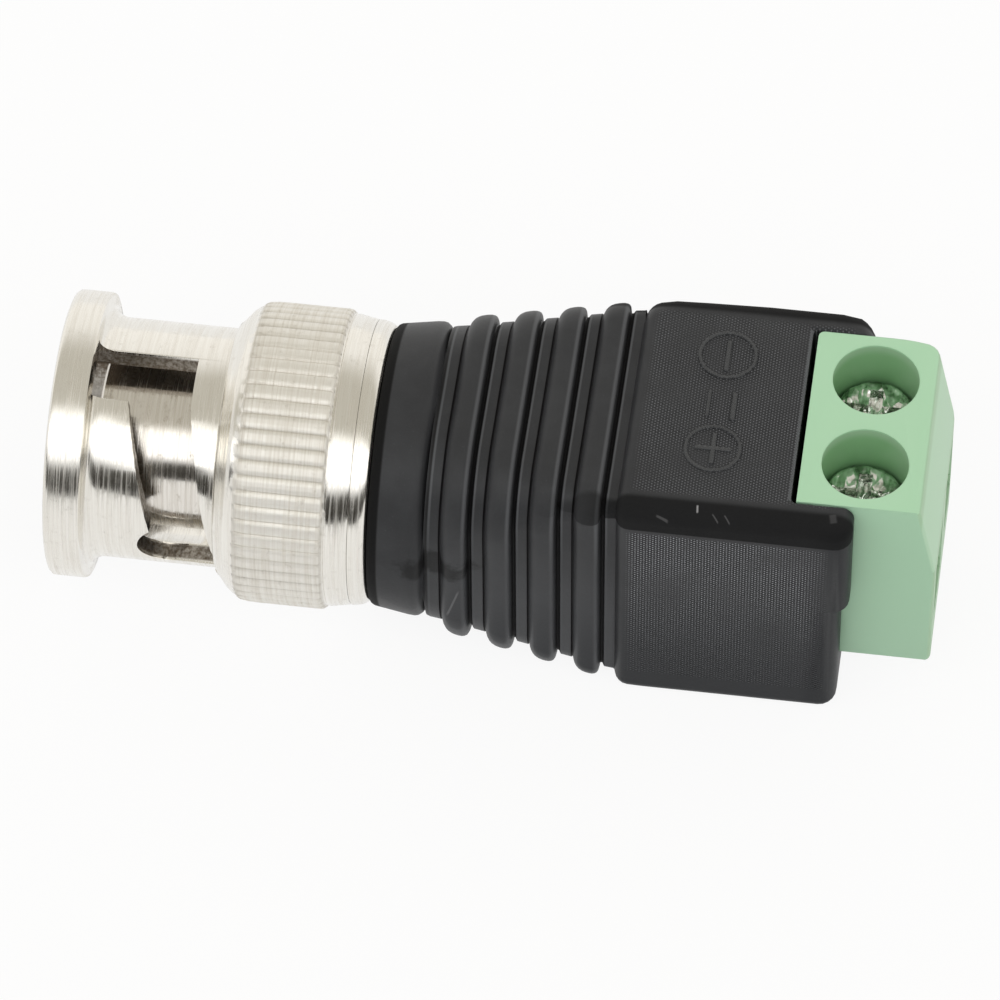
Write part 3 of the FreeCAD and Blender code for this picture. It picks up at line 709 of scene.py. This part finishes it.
# slivers along the cuts are closed before the edges are broken
intoEdit(bayonetNut)
pickMode("verts")
bpy.ops.mesh.select_all(action="SELECT")
bpy.ops.mesh.dissolve_degenerate(threshold=0.004 * mm)
bpy.ops.mesh.select_all(action="DESELECT")
bpy.ops.mesh.select_non_manifold()
bpy.ops.mesh.bisect(plane_co=(1.78 * mm, 0, 0), plane_no=(1, 0, 0))
bpy.ops.mesh.select_all(action="SELECT")
bpy.ops.mesh.remove_doubles(threshold=0.0001 * mm)
pickMode("edges")
pickSharp(55, lambda point: 2.3 < point.x < 7.9 and point.yz.length > 5.6)
bpy.ops.mesh.bevel(offset=0.03 * mm, segments=2, affect="EDGES", clamp_overlap=False)
bpy.ops.object.mode_set(mode="OBJECT")
smooth(bayonetNut)
weighNormals(bayonetNut)
settle(bayonetNut, satinNickel, "nickel_satin", "nut", "coupling_nut")
print("stage: bayonet nut", len(bayonetNut.data.polygons))

# turned pieces of the plug -----------------------------------------

plug = {
    "rearRing": [(14.72, 6.91), (14.74, 6.93), (14.95, 6.92), (15.15, 6.88), (15.35, 6.8), (15.5, 6.7),
                 (15.57, 6.62), (15.57, 4.03), (14.72, 4.03)],
    "barrel": [(1.95, 3.62), (1.97, 3.86), (2.03, 3.98), (2.12, 4.05), (10.3, 4.05), (10.35, 4.0), (10.35, 3.55),
               (13.46, 3.55), (13.46, 3.1), (9.5, 3.1), (9.5, 3.5), (2.05, 3.5)],
    "pin": [(2.95, 0.02), (2.96, 0.14), (3.05, 0.25), (3.75, 0.66), (3.85, 0.675), (10.65, 0.675), (10.65, 0.95),
            (20.85, 0.95), (20.9, 0.9), (20.9, 0.5), (18.7, 0.5), (18.7, 0.02)],
    "insulator": [(7.05, 2.5), (7.05, 2.98), (7.12, 3.05), (13.46, 3.05), (13.46, 2.6), (17.46, 2.6), (17.46, 0.98),
                  (10.62, 0.98), (10.62, 2.4), (10.57, 2.45), (7.1, 2.45)],
    "seal": [(10.38, 3.7), (10.38, 4.68), (10.46, 4.78), (10.6, 4.8), (10.82, 4.8), (10.95, 4.78), (11.03, 4.68),
             (11.03, 3.7), (10.95, 3.6), (10.82, 3.58), (10.6, 3.58), (10.46, 3.6)],
}
rearRing = lathe("rearRing", plug["rearRing"], 160)
smooth(rearRing)
settle(rearRing, satinNickel, "nickel_satin", "core", "rear_collar")

barrel = lathe("contactBarrel", plug["barrel"], 120)
slit = block("slitTool", 1.5, 6.45, 0, 5, -0.175, 0.175)
slits = [copyOf(slit, "slitTool%d" % index, turnX=math.radians(45 + 180 * index)) for index in range(2)]
bpy.data.objects.remove(slit, do_unlink=True)
cutAway(barrel, slits)
softEdges(barrel, 0.03, 50)
smooth(barrel)
settle(barrel, barrelNickel, "nickel_dark", "core", "outer_contact")

pin = lathe("contactPin", plug["pin"], 48)
smooth(pin)
settle(pin, pinGold, "pin_brass", "core", "centre_pin")

insulator = lathe("insulator", plug["insulator"], 72)
smooth(insulator)
settle(insulator, whiteInsulator, "white_insulator", "core", "dielectric")

wave = {"centre": 12.395, "swing": 0.455, "thickness": 0.2, "inner": 4.12, "outer": 4.76, "waves": 3, "steps": 60}
half = wave["thickness"] / 2
waveSpring = lathe("waveSpring", [(wave["centre"] - half, wave["inner"]), (wave["centre"] - half, wave["outer"]),
                                  (wave["centre"] + half, wave["outer"]), (wave["centre"] + half, wave["inner"])],
                   wave["steps"])
intoEdit(waveSpring)
pickMode("verts")
for step in range(wave["steps"]):
    angle = 2 * math.pi * step / wave["steps"]
    aim = Vector((0, math.cos(angle), math.sin(angle)))
    pick("verts", lambda point: point.dot(aim) > 0.9999 * point.yz.length)
    bpy.ops.transform.translate(value=(wave["swing"] * math.cos(wave["waves"] * angle) * mm, 0, 0))
bpy.ops.object.mode_set(mode="OBJECT")
smooth(waveSpring, 40)
settle(waveSpring, springSteel, "spring_steel", "core", "wave_washer")
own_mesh(waveSpring)

seal = lathe("sealRing", plug["seal"], 72)
smooth(seal)
settle(seal, sealRubber, "seal_rubber", "core", "gasket")
print("stage: plug parts")

# moulded body ----------------------------------------------------

mould = {"front": 15.6, "collarRadius": 6.83, "collarFlare": 0.32, "morphStart": 17.5, "boxFront": 27.65,
         "boxEnd": 38.75, "startWidth": 6.85, "startHeight": 6.95, "startCorner": 5.5, "halfWidth": 6.75,
         "halfHeight": 7.2, "edgeRadius": 1.0, "bottomRadius": 0.7, "corner": 16,
         "ribs": (19.85, 21.98, 24.11, 26.24), "endRadius": 0.85, "toeLevel": 0.8, "toeSetback": 0.39,
         "farSoft": [(27.6, 1.2), (28.25, 0.7), (29.0, 0.35), (30.5, 0.2), (33.5, 0.0), (37.0, 0.0), (37.9, 0.3),
                     (38.5, 1.0), (38.75, 1.4)]}


def farSoftening(x, growth):
    # the upper edge on the far side is rounder on the ribs, and at the shoulder and the end of the box
    if x < mould["farSoft"][0][0]:
        return 0.6 + 0.5 * growth
    for (x0, soft0), (x1, soft1) in zip(mould["farSoft"], mould["farSoft"][1:]):
        if x <= x1:
            return soft0 + (soft1 - soft0) * (x - x0) / (x1 - x0)
    return 0.0


def mouldSection(x, growth, cornerDrop=0.0):
    share = (x - mould["morphStart"]) / (mould["boxFront"] - mould["morphStart"])
    share = min(max(share, 0), 1)
    halfWidth = mould["startWidth"] + (mould["halfWidth"] - mould["startWidth"]) * share + growth
    halfHeight = mould["startHeight"] + (mould["halfHeight"] - mould["startHeight"]) * share + growth
    corner = mould["startCorner"] + (mould["edgeRadius"] - mould["startCorner"]) * share
    top = max(corner + growth, 0.05)
    return x, halfWidth, halfHeight, top, max(top - cornerDrop, 0.05), top + farSoftening(x, growth)


def collarSection(x, radius):
    return x, radius, radius, radius - 0.03, radius - 0.03, radius - 0.03


def nextSection(before, after):
    # grows the next ring and moves each of its four quarters to the new corner
    bpy.ops.mesh.extrude_edges_move(TRANSFORM_OT_translate={"value": ((after[0] - before[0]) * mm, 0, 0)})
    for side, rise in ((1, 1), (-1, 1), (-1, -1), (1, -1)):
        pick("verts", lambda point: abs(point.x - after[0]) < 1e-4 and point.y * side > 0 and point.z * rise > 0)
        corner = 4 if rise < 0 else 5 if side > 0 else 3
        was = before[corner]
        will = after[corner]
        old = Vector((0, side * (before[1] - was), rise * (before[2] - was)))
        new = Vector((0, side * (after[1] - will), rise * (after[2] - will)))
        bpy.ops.transform.resize(value=(1, will / was, will / was),
                                 center_override=Vector((after[0], old.y, old.z)) * mm)
        bpy.ops.transform.translate(value=(new - old) * mm)
    pick("verts", lambda point: abs(point.x - after[0]) < 1e-4)


def firstSection(name, section):
    # a circle of the corner radius, its four quarters moved apart
    count = mould["corner"] * 4
    piece = addRing(name, section[0], section[3], count)
    bpy.ops.transform.rotate(value=math.pi / count, orient_axis="X", center_override=(0, 0, 0))
    for side, rise in ((1, 1), (-1, 1), (-1, -1), (1, -1)):
        pick("verts", lambda point: point.y * side > 0 and point.z * rise > 0)
        bpy.ops.transform.translate(value=(0, side * (section[1] - section[3]) * mm, rise * (section[2] - section[3]) * mm))
    pick("verts", lambda point: True)
    return piece


collarOutline = [(15.6, 6.5), (15.62, 6.64), (15.7, 6.76), (15.84, 6.84), (16.0, 6.87), (17.5, 7.11), (17.8, 7.13),
                 (17.98, 7.09), (18.12, 6.98), (18.24, 6.8), (18.32, 6.62)]
ribShape = [(-0.78, -0.55), (-0.74, -0.6), (-0.7, -0.58), (-0.65, -0.42), (-0.6, -0.3), (-0.5, -0.17), (-0.38, -0.08),
            (-0.22, -0.02), (-0.05, 0.0), (0.12, 0.0), (0.27, -0.02), (0.4, -0.07), (0.49, -0.14), (0.55, -0.26),
            (0.585, -0.44), (0.61, -0.64), (0.66, -0.7), (0.74, -0.68), (0.78, -0.6), (0.83, -0.54)]
stations = [(18.36, -0.55), (18.5, -0.52)]
for rib in mould["ribs"]:
    for offset, growth in ribShape:
        stations.append((rib + offset, growth))
rings = [collarSection(x, radius) for x, radius in collarOutline] + [mouldSection(x, growth) for x, growth in stations]
boxFront = [(27.5, -0.58), (27.57, -0.56), (27.62, -0.42), (27.7, -0.26), (27.84, -0.12), (28.02, -0.03), (28.25, 0.0)]
rings += [mouldSection(x, growth, (mould["edgeRadius"] - mould["bottomRadius"]) * index / len(boxFront))
          for index, (x, growth) in enumerate(boxFront)]
cornerDrop = mould["edgeRadius"] - mould["bottomRadius"]
rings += [mouldSection(x, 0.0, cornerDrop) for x, soft in mould["farSoft"][2:6]]
for step in range(6):
    angle = math.pi / 2 * step / 5
    inset = mould["endRadius"] * (1 - math.cos(angle))
    rings.append(mouldSection(mould["boxEnd"] - mould["endRadius"] * (1 - math.sin(angle)), -inset, cornerDrop))

mouldPiece = firstSection("mouldedShell", rings[0])
for before, after in zip(rings, rings[1:]):
    nextSection(before, after)
bpy.ops.mesh.edge_face_add()
# the lower part of the end stands back a little
for level in (mould["toeLevel"], mould["toeLevel"] - 0.12):
    bpy.ops.mesh.select_all(action="SELECT")
    bpy.ops.mesh.bisect(plane_co=(0, 0, level * mm), plane_no=(0, 0, 1))
pick("verts", lambda point: point.x > 37.8 and point.z < mould["toeLevel"] - 0.06)
bpy.ops.transform.translate(value=(-mould["toeSetback"] * mm, 0, 0))
# back to the first ring: face of the collar and the bore for the plug
frontX = mould["front"]
pick("verts", lambda point: abs(point.x - frontX) < 1e-4)
nextRing(frontX, 6.5, frontX, 4.03)
nextRing(frontX, 4.03, 17.85, 4.03)
nextRing(17.85, 4.03, 17.85, 3.43)
nextRing(17.85, 3.43, 22.1, 3.43)
bpy.ops.mesh.edge_face_add()
closeUp()


housingRoom = block("housingRoom", 35.7, 40.5, -5.23, 5.23, -4.43, 8.5)
intoEdit(housingRoom)
pickMode("edges")
pick("edges", lambda point, along: point.x < 35.75 and abs(along.z) > 1 and abs(along.y) < 0.01)
bpy.ops.mesh.bevel(offset=0.3 * mm, segments=4, affect="EDGES")
bpy.ops.object.mode_set(mode="OBJECT")
housingLip = block("housingLip", 35.5, 40.6, -5.43, 5.43, 7.1, 7.3)
intoEdit(housingLip)
pickMode("faces")
pick("faces", lambda point, normal: normal.z < -0.9)
bpy.ops.transform.resize(value=(4.9 / 5.1, 5.23 / 5.43, 1), center_override=(40.6 * mm, 0, 7.1 * mm))
bpy.ops.object.mode_set(mode="OBJECT")
tailRooms = [block("tailRoom%d" % index, 35.2, 37.72, y - 1, y + 1, -6.3, -3.9) for index, y in enumerate((2.54, -2.54))]
cutAway(mouldPiece, [housingRoom, housingLip] + tailRooms)
smooth(mouldPiece, 40)
settle(mouldPiece, blackMoulding, "black_moulding", "core", "moulded_body")
print("stage: moulded shell", len(mouldPiece.data.polygons))

# polarity marks --------------------------------------------------

marks = {"top": 7.2, "rise": 0.085, "stroke": 0.1, "minus": (31.82, 3.09, 1.34), "plus": (31.72, -2.57, 1.3)}


def markRing(name, x, y, radius):
    startFresh()
    bpy.ops.mesh.primitive_torus_add(major_segments=64, minor_segments=10, major_radius=radius * mm,
                                     minor_radius=marks["stroke"] * mm, location=(x * mm, y * mm, marks["top"] * mm))
    piece = bpy.context.object
    piece.name = name
    bpy.ops.object.transform_apply(location=True, rotation=True, scale=True)
    intoEdit(piece)
    bpy.ops.mesh.select_all(action="SELECT")
    bpy.ops.transform.resize(value=(1, 1, marks["rise"] / marks["stroke"]), center_override=(0, 0, marks["top"] * mm))
    bpy.ops.object.mode_set(mode="OBJECT")
    return piece


def markBar(name, x0, x1, y0, y1, drop=0.0):
    piece = block(name, x0, x1, y0, y1, marks["top"] - 0.1, marks["top"] + marks["rise"] - drop)
    intoEdit(piece)
    pickMode("faces")
    pick("faces", lambda point, normal: normal.z > 0.9)
    bpy.ops.mesh.bevel(offset=0.06 * mm, segments=3, affect="EDGES")
    bpy.ops.object.mode_set(mode="OBJECT")
    return piece


def joinAll(pieces):
    startFresh()
    for piece in pieces:
        piece.select_set(True)
    bpy.context.view_layer.objects.active = pieces[0]
    bpy.ops.object.join()
    smooth(pieces[0], 50)
    settle(pieces[0], blackMoulding, "black_moulding", "core")


joinAll([markRing("minusMark", *marks["minus"]), markBar("minusStroke", 31.7, 31.94, 2.1, 3.95)])
joinAll([markRing("plusMark", *marks["plus"]), markBar("plusStroke", 31.62, 31.86, -3.5, -1.65),
         markBar("plusCross", 30.85, 32.6, -2.69, -2.45, 0.012)])
joinAll([markBar("directMark", 31.13, 31.31, -0.7, 0.85), markBar("directBar", 32.3, 32.56, -0.8, 0.85)])

# terminal housing ------------------------------------------------

terminal = {"x": (35.97, 42.72), "half": 5.15, "z": (-4.4, 7.14), "chamfer": (41.82, 2.52), "poles": (2.54, -2.54),
            "screwX": 38.97, "hole": 2.07, "edge": 0.22, "farEdge": 0.8, "backEdge": 0.3}
housing = block("terminalBlock", *terminal["x"], -terminal["half"], terminal["half"], *terminal["z"])
intoEdit(housing)
bpy.ops.mesh.select_all(action="SELECT")
slope = Vector((terminal["z"][1] - terminal["chamfer"][1], 0, terminal["x"][1] - terminal["chamfer"][0])).normalized()
bpy.ops.mesh.bisect(plane_co=(terminal["chamfer"][0] * mm, 0, terminal["z"][1] * mm), plane_no=slope, use_fill=True,
                    clear_outer=True)
pickMode("edges")
pick("edges", lambda point, along: point.x > 42 and point.y > 5.1)
bpy.ops.mesh.bevel(offset=terminal["farEdge"] * mm, segments=5, affect="EDGES")
pick("edges", lambda point, along: point.x < 36 and point.y > 5.1 and abs(along.z) > 1)
bpy.ops.mesh.bevel(offset=terminal["backEdge"] * mm, segments=4, affect="EDGES")
farLine = terminal["half"] - terminal["farEdge"] - 0.01
pick("edges", lambda point, along: point.x > 40 and not (point.y > farLine and abs(along.z) > 1))
bpy.ops.mesh.bevel(offset=terminal["edge"] * mm, segments=4, affect="EDGES")
bpy.ops.object.mode_set(mode="OBJECT")
tools = []
for index, y in enumerate(terminal["poles"]):
    tools.append(block("cellTool%d" % index, 36.37, 40.92, y - 2.1, y + 2.1, -2.95, 3.35))
    tools.append(post("holeTool%d" % index, terminal["screwX"], y, 2.9, 7.6, terminal["hole"], 72))
    tools.append(block("tailTool%d" % index, 36.37, 36.93, y - 0.63, y + 0.63, -4.9, -2.5))
    funnel = block("funnelTool%d" % index, 40.6, 43.2, y - 1.35, y + 1.35, -2.2, 0.4)
    tools.append(funnel)
    mouth = block("mouthTool%d" % index, 40.9, 43.2, y - 1.95, y + 1.95, -2.0, 1.9)
    intoEdit(mouth)
    pickMode("faces")
    pick("faces", lambda point, normal: normal.x < -0.9)
    bpy.ops.transform.resize(value=(1, 2.7 / 3.9, 2.6 / 3.9), center_override=(40.9 * mm, y * mm, -1.9 * mm))
    bpy.ops.object.mode_set(mode="OBJECT")
    tools.append(mouth)
cutAway(housing, tools)
softEdges(housing, 0.06, 50)
smooth(housing)
settle(housing, paleGreen, "green_housing", "core", "terminal_housing")
print("stage: terminal block", len(housing.data.polygons))

# clamp screws ----------------------------------------------------

screwHead = {"radius": 1.9, "top": 4.74, "bottom": 3.44, "slot": 0.65, "slotDepth": 0.6, "cross": 2.5}
screw = post("clampScrewMinus", terminal["screwX"], 2.54, screwHead["bottom"], screwHead["top"], screwHead["radius"], 64)
intoEdit(screw)
pickMode("faces")
pick("faces", lambda point, normal: normal.z > 0.9)
bpy.ops.mesh.bevel(offset=0.3 * mm, segments=4, affect="EDGES")
pick("faces", lambda point, normal: normal.z < -0.9)
bpy.ops.mesh.inset(thickness=0.6 * mm)
bpy.ops.mesh.extrude_region_move(TRANSFORM_OT_translate={"value": (0, 0, -2.97 * mm)})
bpy.ops.object.mode_set(mode="OBJECT")
cutAway(screw, [
    block("slotTool", 36.5, 41.5, 2.54 - 0.325, 2.54 + 0.325, 4.14, 5.2),
    block("crossTool", terminal["screwX"] - 0.325, terminal["screwX"] + 0.325, 2.54 - 1.25, 2.54 + 1.25, 4.14, 5.2),
])
softEdges(screw, 0.08, 50)
smooth(screw)
twin = copyOf(screw, "clampScrewPlus", shift=(0, -5.08, 0))
settle(screw, screwSteel, "screw_steel", "screw_minus", "clamp_screw_minus")
settle(twin, screwSteel, "screw_steel", "screw_plus", "clamp_screw_plus")
print("stage: screws")

# floor and world ------------------------------------------

startFresh()
bpy.ops.mesh.primitive_plane_add(size=3, location=(0, 0, -7.3 * mm))
floor = bpy.context.object
floor.name = "studioFloor"
paper = newFinish("studioPaper")
rays = paper.tree.nodes.new("ShaderNodeLightPath")
seen = Signal(paper.tree, rays.outputs["Is Camera Ray"])
mirrored = Signal(paper.tree, rays.outputs["Is Glossy Ray"])
through = Signal(paper.tree, rays.outputs["Is Transmission Ray"])
matt = paper.add("ShaderNodeBsdfDiffuse", inputs={"Color": (0.9, 0.9, 0.9, 1)})
glow = paper.add("ShaderNodeEmission", inputs={"Color": (1, 1, 1, 1), "Strength": 1.0})
share = seen * 0.9 + mirrored * 0.75 + through * 0.86
mixed = paper.add("ShaderNodeMixShader", inputs={0: share, 1: matt, 2: glow})
paper.add("ShaderNodeOutputMaterial", inputs={"Surface": mixed})
floor.data.materials.append(paper.owner)

studio = {"levels": [(0, (1.06, 1.04, 1.0)), (34, (1.0, 0.98, 0.94)), (58, (0.6, 0.575, 0.51)),
                     (105, (0.58, 0.555, 0.49)), (117, (1.75, 1.74, 1.7)), (147, (1.75, 1.75, 1.75)),
                     (158, (0.07, 0.066, 0.058)), (180, (0.035, 0.033, 0.029))],
          "left": 0.95, "right": 1.6, "strength": 1.0}
sky = Finish(bpy.context.scene.world or bpy.data.worlds.new("studioWorld"))
bpy.context.scene.world = sky.owner
direction = sky.add("ShaderNodeTexCoord", output=0)
parts = sky.tree.nodes.new("ShaderNodeSeparateXYZ")
sky.tree.links.new(direction.socket, parts.inputs[0])
dx, dy, dz = [Signal(sky.tree, out) for out in parts.outputs]
around = dz.maths("ARCTAN2", dz, dy) / math.pi
bands = sky.add("ShaderNodeValToRGB", {"stops": [(angle / 180, [part / 2 for part in level]) for angle, level in studio["levels"]]},
                {"Fac": around})
ends = sky.tint(dx.between(-0.05, 0.05), (studio["left"] / 2,) * 3, (studio["right"] / 2,) * 3)
level = sky.tint(abs(dx).between(0.93, 0.995), bands, ends)
background = sky.add("ShaderNodeBackground", inputs={"Color": level, "Strength": 2.0 * studio["strength"]})
white = sky.add("ShaderNodeBackground", inputs={"Color": (1, 1, 1, 1), "Strength": 1.0})
skyRays = sky.tree.nodes.new("ShaderNodeLightPath")
skySeen = Signal(sky.tree, skyRays.outputs["Is Camera Ray"])
sky.add("ShaderNodeOutputWorld", inputs={"Surface": sky.add("ShaderNodeMixShader", inputs={0: skySeen, 1: background, 2: white})})
print("stage: studio ready")
